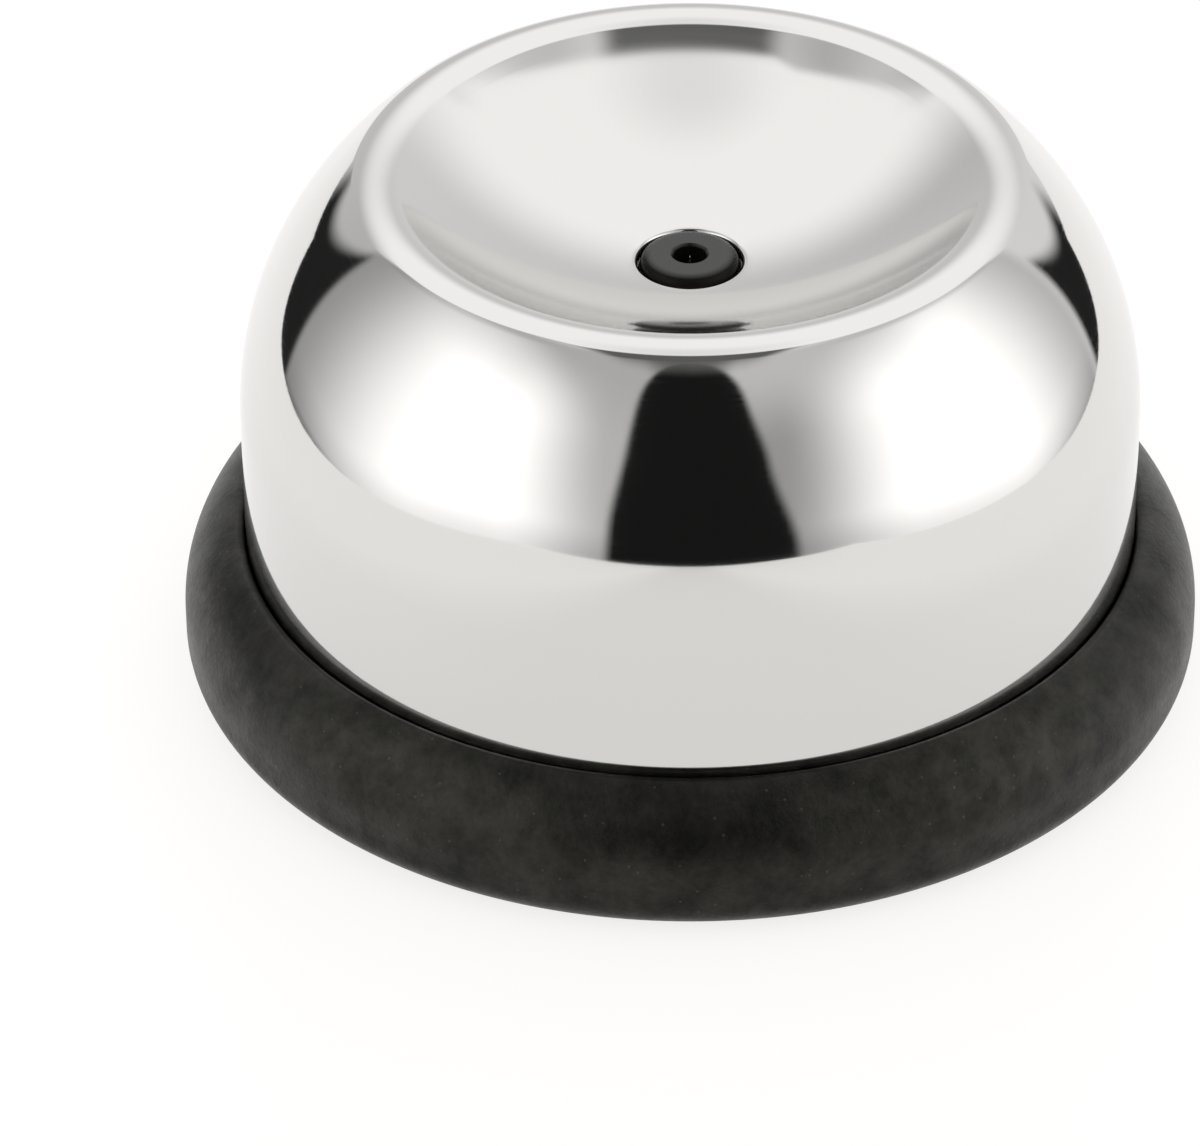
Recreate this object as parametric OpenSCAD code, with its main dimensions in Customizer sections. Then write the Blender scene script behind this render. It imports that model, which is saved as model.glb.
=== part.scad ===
// Egg piercer: a polished steel dome with an egg seat in its top, standing in a rubber foot ring.
// An egg set in the seat pushes a sprung plunger down, and a fixed needle comes through the plunger.
// Millimetres, +Z up. The axis of the dome is Z, and the foot ring rests on z = 0.

/* [Dome] */
// Height of the whole piercer, floor to the crest of the rim
body_h = 33.2; // [30:0.1:40]
// Outer diameter of the dome's straight skirt
skirt_d = 54.3; // [50:0.1:60]
// Thickness of the drawn steel sheet
sheet_t = 0.6; // [0.4:0.05:0.8]
// Outer radius of the shoulder that turns the skirt over into the rim
shoulder_r = 21.1; // [19:0.1:24]
// Diameter of the rim's crest
rim_d = 37.2; // [34:0.1:40]
// Outer radius of the rolled rim
rim_r = 2.2; // [1.2:0.1:3]
// Spherical radius of the egg seat
seat_r = 27.6; // [22:0.1:30]
// Diameter at which the seat's sphere runs into the flare
seat_d = 33; // [16:0.1:34]
// Radius of the flare between the seat and the rim
flare_r = 90; // [60:1:300]
// Radius of the polished edge of the seat's hole
hole_edge_r = 0.45; // [0.1:0.05:0.5]
// Width of the hem that is turned in under the skirt
hem_w = 2.3; // [2:0.1:3]
// Outer radius of the bend between skirt and hem
hem_bend_r = 1.4; // [1:0.1:1.6]

/* [Foot ring] */
// Width of the rubber foot ring outside the skirt
foot_w = 3.81; // [3:0.01:6]
// Height of the ring where it meets the skirt
foot_h = 9; // [7:0.1:12]
// Height at which the ring's upright side starts to round over
foot_side_h = 3.1; // [2.5:0.1:4.5]
// Radius of the ring's lower outer edge
foot_edge_r = 1.8; // [0.4:0.1:2.4]
// Radius of the ring's inner edge at the skirt
foot_rim_r = 0.45; // [0.2:0.05:0.8]
// Thickness of the lip under the base plate
foot_lip_t = 1.4; // [1:0.1:2]
// Width of the lip under the base plate
foot_lip_w = 4.8; // [3:0.1:7]

/* [Base plate] */
// Thickness of the plate's outer flange
plate_t = 1.8; // [1.4:0.1:2.4]
// Thickness of the plate's middle, which takes the screws
hub_plate_t = 3; // [2.6:0.1:4]
// Diameter of the plate's thick middle
hub_plate_d = 28; // [27:0.1:32]
// Number of snap fingers that hold the hem
finger_n = 8; // [4:1:12]
// Thickness of a snap finger
finger_t = 1.4; // [1:0.1:2]
// Height of a snap finger above the flange
finger_h = 2.4; // [2:0.1:3]
// Reach of a finger's hook over the hem
hook_w = 0.5; // [0.3:0.05:0.6]
// Width of the slots between fingers
finger_slot_w = 3; // [2:0.1:5]
// Number of stiffening ribs
rib_n = 6; // [3:1:12]
// Thickness of a stiffening rib
rib_t = 1.2; // [0.8:0.1:2]
// Diameter of the middle boss, which carries the spring and the needle hub
boss_d = 9; // [8:0.1:9.2]
// Height of the middle boss above the thick middle
boss_h = 5.1; // [4:0.1:6]

/* [Guide turret] */
// Bore that guides the plunger's flange
turret_bore = 9.5; // [9:0.1:11]
// Wall of the turret's tube
turret_wall = 1.5; // [1.2:0.1:2]
// Diameter of the turret's screwed flange
turret_flange_d = 26.8; // [26:0.1:30]
// Thickness of the turret's screwed flange
turret_flange_t = 2; // [1.6:0.1:3]
// Thickness of the lip that stops the plunger, on the axis side
turret_lip_t = 2.1; // [1.5:0.1:3]
// Thickness of the gussets between tube and flange
gusset_t = 1.4; // [1:0.1:2]
// Height of the gussets above the flange
gusset_h = 9; // [5:0.1:11]

/* [Plunger] */
// Diameter of the plunger's button
plunger_d = 6; // [5:0.1:7]
// How far the button stands above the edge of the seat's hole
plunger_proud = 0.35; // [0.2:0.05:1]
// Radius of the button's top edge
plunger_edge_r = 0.8; // [0.2:0.05:1]
// Diameter of the hole that the needle comes through
needle_hole_d = 2; // [1.6:0.1:2.4]
// Chamfer round the top of that hole
needle_hole_chamfer = 0.15; // [0.05:0.05:0.3]
// Thickness of the plunger's flange
plunger_flange_t = 1.2; // [1:0.1:2]
// Length of the spigot that centres the spring
spigot_l = 2; // [1:0.1:3]
// Travel of the plunger down to the needle hub
plunger_travel = 3; // [2:0.1:4]

/* [Needle and spring] */
// Diameter of the needle
needle_d = 1.1; // [0.8:0.05:1.3]
// Length of the needle's ground point
needle_point_l = 2.6; // [1.5:0.1:4]
// Depth of the needle's tip under the top of the resting plunger
needle_sunk = 0.15; // [0.1:0.05:0.5]
// Depth that the needle is pressed into its hub
needle_grip_l = 7; // [5:0.1:8]
// Diameter of the brass needle hub
hub_d = 4.2; // [3.4:0.1:4.6]
// Depth that the hub is pressed into the boss
hub_grip_l = 6; // [5:0.1:6.5]
// Diameter of the hub's flat top, which stops the plunger at the end of its travel
hub_nose_d = 3.2; // [2.4:0.1:4]
// Length of the hub's tapered nose
hub_nose_l = 1.5; // [0.5:0.1:3]
// Diameter of the spring's wire
wire_d = 0.6; // [0.4:0.05:0.7]
// Outer diameter of the spring
spring_d = 8; // [7.6:0.1:8.6]
// Number of turns of the spring
spring_turns = 8; // [5:1:9]

/* [Screws] */
// Number of screws between base plate and turret
screw_n = 3; // [3:1:4]
// Diameter of the circle that the screws stand on
screw_circle_d = 20; // [19:0.1:21]
// Diameter of a screw's shank
screw_d = 2.2; // [2:0.1:2.6]
// Diameter of a screw's head
screw_head_d = 4; // [3.6:0.1:4.6]
// Height of a screw's head
screw_head_h = 1.3; // [1:0.1:1.5]
// Depth that a screw's head lies under the plate
screw_sunk = 0.3; // [0.1:0.1:0.5]
// Length of a screw's shank in the turret
screw_grip_l = 5; // [4:0.1:7]
// Width of the cross recess in a screw's head
recess_w = 0.6; // [0.4:0.1:0.8]
// Length of the cross recess in a screw's head
recess_l = 2.4; // [1.6:0.1:3]

/* [Fits] */
// Clearance between pieces that seat on each other, on a radius
seat_fit = 0.04; // [0.02:0.01:0.08]
// Clearance between the sliding plunger and what guides it, on a radius
slide_fit = 0.1; // [0.06:0.01:0.2]
// Clearance between the button and the hole in the egg seat, on a radius
button_gap = 0.12; // [0.1:0.01:0.3]
// Clearance round screws and fingers that don't touch, on a radius
free_fit = 0.2; // [0.15:0.05:0.3]

/* [Hidden] */
$fn = 96;
eps = 0.01;
// Angles by which shoulder and flare lap into their neighbours, so that the sheet is in one piece
shoulder_lap = 0.1;
flare_lap = 0.02;

// Dome: the arcs of shoulder, rim and flare and the seat's sphere run into each other as tangents
skirt_r = skirt_d / 2;
rim_c = [rim_d / 2, body_h - rim_r];
shoulder_x = skirt_r - shoulder_r;
shoulder_c = [shoulder_x,
              rim_c.y - sqrt(pow(shoulder_r - rim_r, 2) - pow(rim_c.x - shoulder_x, 2))];
shoulder_a = atan2(rim_c.y - shoulder_c.y, rim_c.x - shoulder_c.x);
seat_a = asin(seat_d / 2 / seat_r);
flare_x = seat_d / 2 - flare_r * sin(seat_a);
flare_c = [flare_x, rim_c.y + sqrt(pow(flare_r + rim_r, 2) - pow(rim_c.x - flare_x, 2))];
flare_a = atan2(flare_c.y - rim_c.y, flare_c.x - rim_c.x);
seat_c = [0, flare_c.y + (seat_r - flare_r) * cos(seat_a)];
hole_r = plunger_d / 2 + button_gap;
hole_z = seat_c.y - sqrt(pow(seat_r, 2) - pow(hole_r, 2));
hem_z = foot_lip_t + plate_t;
hem_r = skirt_r - hem_w;

// Foot ring: the crown's arc leaves the upright side as a tangent and ends at the skirt
foot_bore_r = skirt_r + seat_fit;
foot_r = foot_bore_r + foot_w;
foot_lip_r = skirt_r - foot_lip_w;
crown_h = foot_h - foot_side_h;
crown_r = (pow(foot_w, 2) + pow(crown_h, 2)) / (2 * foot_w);
crown_c = [foot_r - crown_r, foot_side_h];

// Base plate
plate_top = hem_z;
hub_plate_top = foot_lip_t + hub_plate_t;
boss_top = hub_plate_top + boss_h;
finger_r = hem_r - free_fit;
hook_r = hem_r + hook_w;
hook_z = hem_z + sheet_t + seat_fit;

// Plunger, stopped at rest by the turret's lip
plunger_top = hole_z + plunger_proud;
turret_bore_r = turret_bore / 2;
turret_r = turret_bore_r + turret_wall;
lip_r = plunger_d / 2 + slide_fit;
lip_z = hole_z - sheet_t - turret_lip_t;
flange_top = lip_z - seat_fit;
flange_z = flange_top - plunger_flange_t;
flange_r = turret_bore_r - slide_fit;
spigot_r = spring_d / 2 - wire_d - slide_fit;

// Needle and spring
needle_tip = plunger_top - needle_sunk;
hub_z = boss_top - hub_grip_l;
hub_top = flange_z - spigot_l - plunger_travel - seat_fit;
needle_z = hub_top - needle_grip_l;
coil_r = (spring_d - wire_d) / 2;
coil_z0 = boss_top + wire_d / 2 + seat_fit;
coil_z1 = flange_z - wire_d / 2 - seat_fit;
ring_sides = 6;
rings_a_turn = 16;

// Screws
screw_seat_z = foot_lip_t + screw_sunk + screw_head_h;
screw_end_z = hub_plate_top + screw_grip_l;
screw_boss_r = screw_d / 2 + turret_wall;
screw_boss_top = screw_end_z + turret_flange_t / 2;
screw_start_a = 90;

// Band of sheet between two angles round a centre
module arc_band(c, r, t, a0, a1) {
    far = 3 * r;
    translate(c) intersection() {
        difference() {
            circle(r);
            circle(r - t);
        }
        polygon([[0, 0], far * [cos(a0), sin(a0)],
                 far * [cos((a0 + a1) / 2), sin((a0 + a1) / 2)], far * [cos(a1), sin(a1)]]);
    }
}

// Section of the drawn dome: hem, skirt, shoulder, rim and egg seat in one thickness of sheet
module dome_section() {
    bend_c = [skirt_r - hem_bend_r, hem_z + hem_bend_r];
    translate([hem_r, hem_z]) square([bend_c.x - hem_r, sheet_t]);
    arc_band(bend_c, hem_bend_r, sheet_t, -90, 0);
    translate([skirt_r - sheet_t, bend_c.y]) square([sheet_t, shoulder_c.y - bend_c.y]);
    arc_band(shoulder_c, shoulder_r, sheet_t, -shoulder_lap, shoulder_a + shoulder_lap);
    arc_band(rim_c, rim_r, sheet_t, shoulder_a, flare_a);
    arc_band(flare_c, flare_r + sheet_t, sheet_t, seat_a - 90 - flare_lap, flare_a - 180 + flare_lap);
    seat_section();
}

// Section of the egg seat, with the upper edge of its hole rounded
module seat_section() {
    edge_c = [hole_r + hole_edge_r,
              seat_c.y - sqrt(pow(seat_r + hole_edge_r, 2) - pow(hole_r + hole_edge_r, 2))];
    edge_a = atan2(seat_c.y - edge_c.y, -edge_c.x);
    difference() {
        arc_band(seat_c, seat_r + sheet_t, sheet_t, -90, seat_a - 90);
        translate([-hole_r, hole_z - 2 * sheet_t]) square([2 * hole_r, 4 * sheet_t]);
        polygon([[0, edge_c.y], edge_c, edge_c + 3 * sheet_t * [cos(edge_a), sin(edge_a)],
                 [0, edge_c.y + 3 * sheet_t]]);
    }
    intersection() {
        translate(edge_c) circle(hole_edge_r);
        translate(seat_c) circle(seat_r + sheet_t);
    }
}

module dome_shell() {
    color("#d9dcde") rotate_extrude() dome_section();
}

// Section of the rubber ring: upright side, rounded crown, lip under the base plate
module foot_section() {
    rim_edge_x = foot_bore_r + foot_rim_r;
    rim_edge_c = [rim_edge_x,
                  crown_c.y + sqrt(pow(crown_r - foot_rim_r, 2) - pow(rim_edge_x - crown_c.x, 2))];
    rim_edge_a = atan2(rim_edge_c.y - crown_c.y, rim_edge_c.x - crown_c.x);
    difference() {
        union() {
            translate([foot_lip_r, 0]) square([foot_r - foot_edge_r - foot_lip_r, foot_side_h]);
            translate([foot_lip_r, foot_edge_r]) square([foot_r - foot_lip_r, foot_side_h - foot_edge_r]);
            translate([foot_r - foot_edge_r, foot_edge_r]) circle(foot_edge_r);
            intersection() {
                translate(crown_c) circle(crown_r);
                translate([foot_lip_r, foot_side_h]) square([foot_r - foot_lip_r, foot_h]);
            }
        }
        translate([0, foot_lip_t]) square([foot_bore_r, 2 * foot_h]);
        polygon([[0, rim_edge_c.y], rim_edge_c, rim_edge_c + foot_w * [cos(rim_edge_a), sin(rim_edge_a)],
                 [0, 2 * foot_h]]);
    }
    translate(rim_edge_c) circle(foot_rim_r);
}

module foot_ring() {
    color("#2b2b2c") rotate_extrude() foot_section();
}

// Ring of snap fingers with hooks that catch the top of the hem
module fingers() {
    difference() {
        rotate_extrude() {
            translate([finger_r - finger_t, plate_top - eps]) square([finger_t, finger_h + eps]);
            polygon([[finger_r - eps, hook_z], [hook_r, hook_z], [hook_r, hook_z + hook_w],
                     [finger_r, plate_top + finger_h], [finger_r - eps, plate_top + finger_h]]);
        }
        for (i = [0 : finger_n - 1])
            rotate(i * 360 / finger_n)
                translate([finger_r - 2 * finger_t, -finger_slot_w / 2, plate_top])
                    cube([4 * finger_t, finger_slot_w, 2 * finger_h]);
    }
}

module ribs() {
    rib_l = finger_r - finger_t / 2 - hub_plate_d / 4;
    for (i = [0 : rib_n - 1])
        rotate((i + 0.5) * 360 / rib_n)
            translate([hub_plate_d / 4, -rib_t / 2, foot_lip_t + plate_t / 2])
                cube([rib_l, rib_t, hub_plate_t - plate_t / 2]);
}

module at_screws() {
    for (i = [0 : screw_n - 1])
        rotate(screw_start_a + i * 360 / screw_n)
            translate([screw_circle_d / 2, 0, 0]) children();
}

module base_plate() {
    color("#1f2022") difference() {
        union() {
            translate([0, 0, foot_lip_t]) cylinder(h = plate_t, r = skirt_r);
            translate([0, 0, foot_lip_t]) cylinder(h = hub_plate_t, d = hub_plate_d);
            translate([0, 0, foot_lip_t]) cylinder(h = hub_plate_t + boss_h, d = boss_d);
            ribs();
            fingers();
        }
        translate([0, 0, hub_z - seat_fit]) cylinder(h = 2 * hub_grip_l, r = hub_d / 2 + seat_fit);
        at_screws() {
            cylinder(h = screw_seat_z, r = screw_head_d / 2 + free_fit);
            cylinder(h = 2 * hub_plate_top, r = screw_d / 2 + free_fit);
        }
    }
}

// Gusset between the tube and the flange, with a sloping free edge
module gusset() {
    foot_l = turret_flange_d / 2 - turret_r;
    rotate([90, 0, 0])
        linear_extrude(gusset_t, center = true)
            polygon([[turret_r - turret_wall / 2, hub_plate_top + turret_flange_t / 2],
                     [turret_r + foot_l * 0.8, hub_plate_top + turret_flange_t / 2],
                     [turret_r + foot_l * 0.8, hub_plate_top + turret_flange_t],
                     [turret_r, hub_plate_top + turret_flange_t + gusset_h],
                     [turret_r - turret_wall / 2, hub_plate_top + turret_flange_t + gusset_h]]);
}

module guide_turret() {
    color("#e4e2dc") difference() {
        union() {
            translate([0, 0, hub_plate_top]) cylinder(h = turret_flange_t, d = turret_flange_d);
            translate([0, 0, hub_plate_top]) cylinder(h = seat_c.y - seat_r - hub_plate_top, r = turret_r);
            for (i = [0 : screw_n - 1])
                rotate(screw_start_a + (i + 0.5) * 360 / screw_n) gusset();
            at_screws()
                translate([0, 0, hub_plate_top])
                    cylinder(h = screw_boss_top - hub_plate_top, r = screw_boss_r);
        }
        translate([0, 0, hub_plate_top - eps])
            cylinder(h = lip_z - hub_plate_top + eps, r = turret_bore_r);
        cylinder(h = body_h, r = lip_r);
        translate([0, 0, seat_c.y]) sphere(seat_r + sheet_t + seat_fit, $fn = 192);
        at_screws() cylinder(h = screw_end_z + seat_fit, r = screw_d / 2 + seat_fit);
    }
}

// Section of the plunger: button with a rounded top edge, flange and spring spigot, bored for the needle
module plunger_section() {
    button_r = plunger_d / 2;
    difference() {
        union() {
            translate([0, flange_z]) square([button_r, plunger_top - plunger_edge_r - flange_z]);
            translate([0, flange_z]) square([button_r - plunger_edge_r, plunger_top - flange_z]);
            translate([button_r - plunger_edge_r, plunger_top - plunger_edge_r]) circle(plunger_edge_r);
            translate([0, flange_z]) square([flange_r, plunger_flange_t]);
            translate([0, flange_z - spigot_l]) square([spigot_r, spigot_l]);
        }
        translate([0, flange_z - 2 * spigot_l]) square([needle_hole_d / 2, plunger_top]);
        polygon([[0, plunger_top + eps],
                 [needle_hole_d / 2 + needle_hole_chamfer + eps, plunger_top + eps],
                 [needle_hole_d / 2, plunger_top - needle_hole_chamfer],
                 [0, plunger_top - needle_hole_chamfer]]);
    }
}

module plunger() {
    color("#3a3b3d") rotate_extrude() plunger_section();
}

module needle() {
    shank_l = needle_tip - needle_point_l - needle_z;
    color("#c9ccd0") {
        translate([0, 0, needle_z]) cylinder(h = shank_l, d = needle_d);
        translate([0, 0, needle_z + shank_l]) cylinder(h = needle_point_l, d1 = needle_d, d2 = 0);
    }
}

module needle_hub() {
    color("#b08d45") difference() {
        union() {
            translate([0, 0, hub_z]) cylinder(h = hub_top - hub_nose_l - hub_z, d = hub_d);
            translate([0, 0, hub_top - hub_nose_l]) cylinder(h = hub_nose_l, d1 = hub_d, d2 = hub_nose_d);
        }
        translate([0, 0, needle_z - seat_fit]) cylinder(h = 2 * needle_grip_l, r = needle_d / 2 + seat_fit);
    }
}

// Point of the spring's centre line at turn t, and the tube of wire along it
function coil_point(t) = [coil_r * cos(360 * t), coil_r * sin(360 * t),
                          coil_z0 + (coil_z1 - coil_z0) * t / spring_turns];
function wire_point(t, a) = coil_point(t)
    + wire_d / 2 * [cos(a) * cos(360 * t), cos(a) * sin(360 * t), sin(a)];
coil_rings = spring_turns * rings_a_turn;
wire_points = [for (i = [0 : coil_rings], j = [0 : ring_sides - 1])
    wire_point(i / rings_a_turn, 360 * j / ring_sides)];
wire_sides = [for (i = [0 : coil_rings - 1], j = [0 : ring_sides - 1])
    let (a = i * ring_sides + j, b = i * ring_sides + (j + 1) % ring_sides)
    each [[a, a + ring_sides, b], [b, a + ring_sides, b + ring_sides]]];
wire_ends = [for (j = [1 : ring_sides - 2])
    each [[0, j, j + 1], coil_rings * ring_sides * [1, 1, 1] + [0, j + 1, j]]];

// Least gap between the spring and itself: points at least half a turn apart along the wire
spring_gap = min([for (i = [0 : coil_rings], k = [i + rings_a_turn / 2 : coil_rings])
    norm(coil_point(i / rings_a_turn) - coil_point(k / rings_a_turn))]) - wire_d;
echo(spring_gap = spring_gap);

module return_spring() {
    color("#9fa3a8") polyhedron(wire_points, concat(wire_sides, wire_ends));
}

module screw() {
    translate([0, 0, screw_seat_z]) cylinder(h = screw_end_z - screw_seat_z, d = screw_d);
    difference() {
        translate([0, 0, screw_seat_z - screw_head_h]) cylinder(h = screw_head_h, d = screw_head_d);
        for (a = [0, 90])
            rotate(a)
                translate([-recess_l / 2, -recess_w / 2, screw_seat_z - 1.5 * screw_head_h])
                    cube([recess_l, recess_w, screw_head_h]);
    }
}

module base_screws() {
    color("#8f9499") at_screws() screw();
}

dome_shell();
foot_ring();
base_plate();
guide_turret();
plunger();
needle();
needle_hub();
return_spring();
base_screws();
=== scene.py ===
import math
from typing import NamedTuple

import bpy
import numpy as np
from mathutils import Matrix, Vector


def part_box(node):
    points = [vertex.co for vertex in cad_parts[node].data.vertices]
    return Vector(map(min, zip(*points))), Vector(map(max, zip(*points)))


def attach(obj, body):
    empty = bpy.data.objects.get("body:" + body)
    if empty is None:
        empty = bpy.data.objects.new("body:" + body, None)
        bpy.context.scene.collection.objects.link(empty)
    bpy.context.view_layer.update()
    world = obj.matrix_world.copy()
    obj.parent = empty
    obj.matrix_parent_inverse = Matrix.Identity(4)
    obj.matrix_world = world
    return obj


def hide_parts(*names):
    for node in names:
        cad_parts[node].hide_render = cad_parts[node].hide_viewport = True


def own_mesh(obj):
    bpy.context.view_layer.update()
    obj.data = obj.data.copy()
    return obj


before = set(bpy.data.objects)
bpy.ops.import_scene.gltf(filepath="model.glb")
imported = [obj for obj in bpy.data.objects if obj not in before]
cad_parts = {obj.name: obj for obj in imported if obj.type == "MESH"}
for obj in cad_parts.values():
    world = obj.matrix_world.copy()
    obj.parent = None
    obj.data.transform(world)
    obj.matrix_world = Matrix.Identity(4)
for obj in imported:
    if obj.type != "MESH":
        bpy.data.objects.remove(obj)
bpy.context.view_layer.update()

# Egg piercer: a polished steel dome with an egg seat in its top, a sprung button over a fixed needle,
# and a rubber foot ring. Metres, +Z up, the dome's axis on Z, the foot ring on z = 0.
bl_info = {
    "name": "Egg piercer",
    "version": (1, 0, 0),
    "blender": (4, 5, 0),
    "location": "View3D > Sidebar > Egg piercer",
    "description": "Dresses the egg piercer's solids with finished surfaces and a small studio",
    "category": "Object",
}

MM = 0.001
# points closer than this are one point
TOUCH = 1e-8


def linear(code):
    """Linear RGBA of an sRGB hex colour."""
    srgb = np.array([int(code[i:i + 2], 16) for i in (1, 3, 5)]) / 255
    rgb = np.where(srgb <= 0.04045, srgb / 12.92, ((srgb + 0.055) / 1.055) ** 2.4)
    return (*rgb.tolist(), 1.0)


def length(name, description, mm):
    """Length property, written in millimetres and kept in metres."""
    return bpy.props.FloatProperty(name=name, description=description, default=mm * MM,
                                   unit="LENGTH", precision=5)


def tint(name, description, code):
    """Colour property, written as an sRGB hex value."""
    return bpy.props.FloatVectorProperty(name=name, description=description, subtype="COLOR", size=4,
                                         min=0, max=1, default=linear(code))


class PiercerSizes(bpy.types.PropertyGroup):
    """Sizes of the surfaces, the same as the solids have"""
    body_h: length("Height", "Floor to the crest of the rim", 33.2)
    skirt_d: length("Skirt diameter", "Outer diameter of the dome's straight skirt", 54.3)
    sheet_t: length("Sheet", "Thickness of the drawn steel sheet", 0.6)
    shoulder_r: length("Shoulder radius", "Radius that turns the skirt over into the rim", 21.1)
    rim_d: length("Rim diameter", "Diameter of the rim's crest", 37.2)
    rim_r: length("Rim radius", "Outer radius of the rolled rim", 2.2)
    seat_r: length("Seat radius", "Spherical radius of the egg seat", 27.6)
    seat_d: length("Seat diameter", "Diameter at which the seat runs into the flare", 33)
    flare_r: length("Flare radius", "Radius of the flare between seat and rim", 90)
    hole_edge_r: length("Hole edge", "Radius of the polished edge of the seat's hole", 0.45)
    hem_w: length("Hem width", "Width of the hem turned in under the skirt", 2.3)
    hem_bend_r: length("Hem bend", "Outer radius of the bend between skirt and hem", 1.4)
    hem_z: length("Hem height", "Height of the hem's underside", 3.2)
    foot_w: length("Foot width", "Width of the rubber ring outside the skirt", 3.81)
    foot_h: length("Foot height", "Height of the rubber ring at the skirt", 9)
    foot_side_h: length("Foot side", "Height at which the ring's side starts to round over", 3.1)
    foot_edge_r: length("Foot edge", "Radius of the ring's lower outer edge", 1.8)
    foot_rim_r: length("Foot rim", "Radius of the ring's inner edge at the skirt", 0.45)
    foot_lip_t: length("Foot lip", "Thickness of the ring's lip under the base plate", 1.4)
    foot_lip_w: length("Foot lip width", "Width of the ring's lip under the base plate", 4.8)
    button_d: length("Button diameter", "Diameter of the plunger's button", 6)
    button_gap: length("Button gap", "Clearance between the button and the seat's hole", 0.12)
    button_edge_r: length("Button edge", "Radius of the button's top edge", 0.8)
    needle_hole_d: length("Needle hole", "Diameter of the hole in the button", 2)
    needle_hole_chamfer: length("Needle hole chamfer", "Chamfer round the top of that hole", 0.15)
    flange_t: length("Flange", "Thickness of the plunger's flange", 1.2)
    spigot_l: length("Spigot", "Length of the spigot in the spring", 2)
    travel: length("Travel", "Travel of the plunger", 3)
    needle_d: length("Needle diameter", "Diameter of the needle", 1.1)
    needle_point_l: length("Needle point", "Length of the needle's ground point", 2.6)
    hub_d: length("Hub diameter", "Diameter of the brass hub", 4.2)
    hub_nose_d: length("Hub nose", "Diameter of the hub's flat top", 3.2)
    hub_nose_l: length("Hub nose length", "Length of the hub's tapered nose", 1.5)
    hub_chamfer: length("Hub chamfer", "Chamfer round the hub's lower end", 0.2)
    wire_d: length("Wire", "Diameter of the spring's wire", 0.6)
    spring_turns: bpy.props.IntProperty(name="Turns", description="Turns of the spring", default=8)
    spring_gap: length("Spring gap", "Clearance between the spigot and the spring", 0.1)
    fit: length("Fit", "Clearance between pieces that seat on each other", 0.04)


class PiercerFinishes(bpy.types.PropertyGroup):
    """Colours of the finishes"""
    steel: tint("Steel", "Polished stainless steel", "#d3d2d0")
    rubber: tint("Rubber", "Moulded black rubber", "#080807")
    rubber_sheen: tint("Sheen", "Warm sheen of the rubber's wax bloom", "#fffdf0")
    rubber_dust: tint("Dust", "Specks of dust on the rubber", "#6d6a64")
    button: tint("Button", "Moulded black plastic of the button", "#0f0e0c")
    base: tint("Base", "Moulded black plastic of the base plate", "#1d1e20")
    acetal: tint("Turret", "Natural acetal of the guide turret", "#dcd9d1")
    needle: tint("Needle", "Ground steel of the needle", "#9b9da0")
    brass: tint("Hub", "Turned brass of the needle hub", "#c8a55a")
    wire: tint("Wire", "Drawn spring wire", "#a3a6aa")
    zinc: tint("Screws", "Zinc plate on the screws", "#b3b6b9")


class PiercerStage(bpy.types.PropertyGroup):
    """Camera and light"""
    elevation: bpy.props.FloatProperty(name="Elevation", description="Camera's height angle",
                                       default=math.radians(33.46), subtype="ANGLE")
    roll: bpy.props.FloatProperty(name="Roll", description="Turn of the picture, right side up",
                                  default=math.radians(0.5), subtype="ANGLE")
    distance: length("Distance", "Camera to the middle of the dome", 430)
    middle_z: length("Middle", "Height of the point that the camera's place is counted from", 18)
    aim_left: length("Aim left", "Picture's centre to the left of the axis", 5.42)
    aim_down: length("Aim down", "Picture's centre below the middle of the dome", 11.51)
    lens: bpy.props.FloatProperty(name="Lens", description="Focal length in millimetres", default=213.74)
    tent_r: length("Tent", "Radius of the light tent", 600)
    floor_waist: length("Floor waist", "Half of the floor's width beside the dome", 106)
    floor: tint("Floor", "Pale floor", "#f4f4f4")
    glow: tint("Glow", "Warm white light from the floor", "#fffefd")


def sizes():
    """The piercer's sizes, in metres."""
    return bpy.context.scene.piercer_sizes


def finishes():
    """The colours of the piercer's finishes."""
    return bpy.context.scene.piercer_finishes


def arc(centre, radius, start, end, count):
    """Points on an arc: the centre plus the radius turned evenly from start to end, in degrees."""
    turn = np.radians(np.linspace(start, end, count))
    return np.stack([centre[0] + radius * np.cos(turn), centre[1] + radius * np.sin(turn)], axis=1)


def line(start, end, count):
    """Points spaced evenly from start to end, without the end itself."""
    step = np.linspace(0, 1, count, endpoint=False)[:, None]
    return np.asarray(start) * (1 - step) + np.asarray(end) * step


def chain(*runs):
    """One outline from runs of points, with repeated points left out."""
    points = np.concatenate([np.atleast_2d(run) for run in runs])
    step = np.linalg.norm(points - np.roll(points, 1, axis=0), axis=1)
    return points[step > TOUCH]


def grid_quads(rows, count, wrap=True):
    """Quads of a grid whose points lie row after row: each point, the one beyond it in the next row, that
    one's neighbour and its own neighbour. With wrap, a row's last point has the first as its neighbour."""
    i = np.arange(rows - 1)[:, None] * count
    j = np.arange(count if wrap else count - 1)[None]
    k = (j + 1) % count
    return np.stack([i + j, i + count + j, i + count + k, i + k], axis=2).reshape(-1, 4).tolist()


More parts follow.
